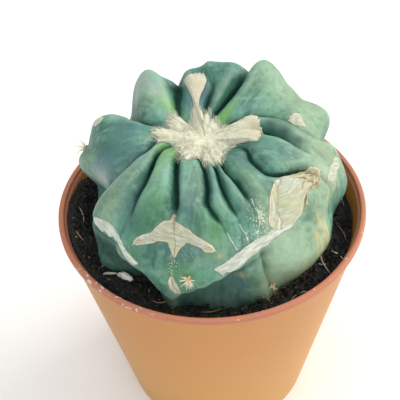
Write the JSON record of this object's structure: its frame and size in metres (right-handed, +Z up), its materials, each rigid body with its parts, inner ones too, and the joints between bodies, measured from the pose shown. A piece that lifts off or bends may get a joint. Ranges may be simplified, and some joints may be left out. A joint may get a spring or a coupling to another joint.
{
  "type": "potted cactus",
  "caption": "Squat blue-green barrel cactus with puffed, creased lobes, corky scars and cream crown wool, set in dark soil in a small tapered nursery pot.",
  "frame": {"origin": "centre of the pot's flat underside, on the pot's axis", "axes": "+Z up along the pot's axis, -Y towards the side seen in the picture, +X to that side's right"},
  "size_m": [0.065, 0.065, 0.0765],
  "materials": {
    "pot_plastic": "satin terracotta-coloured plastic",
    "dark_peat": "matte",
    "cactus_skin": "satin waxy skin",
    "cream_wool": "matte"
  },
  "bodies": {
    "root": {"pot": "pot_plastic", "soil": "dark_peat", "cactus_body": "cactus_skin", "crown_wool": "cream_wool"}
  },
  "joints": []
}
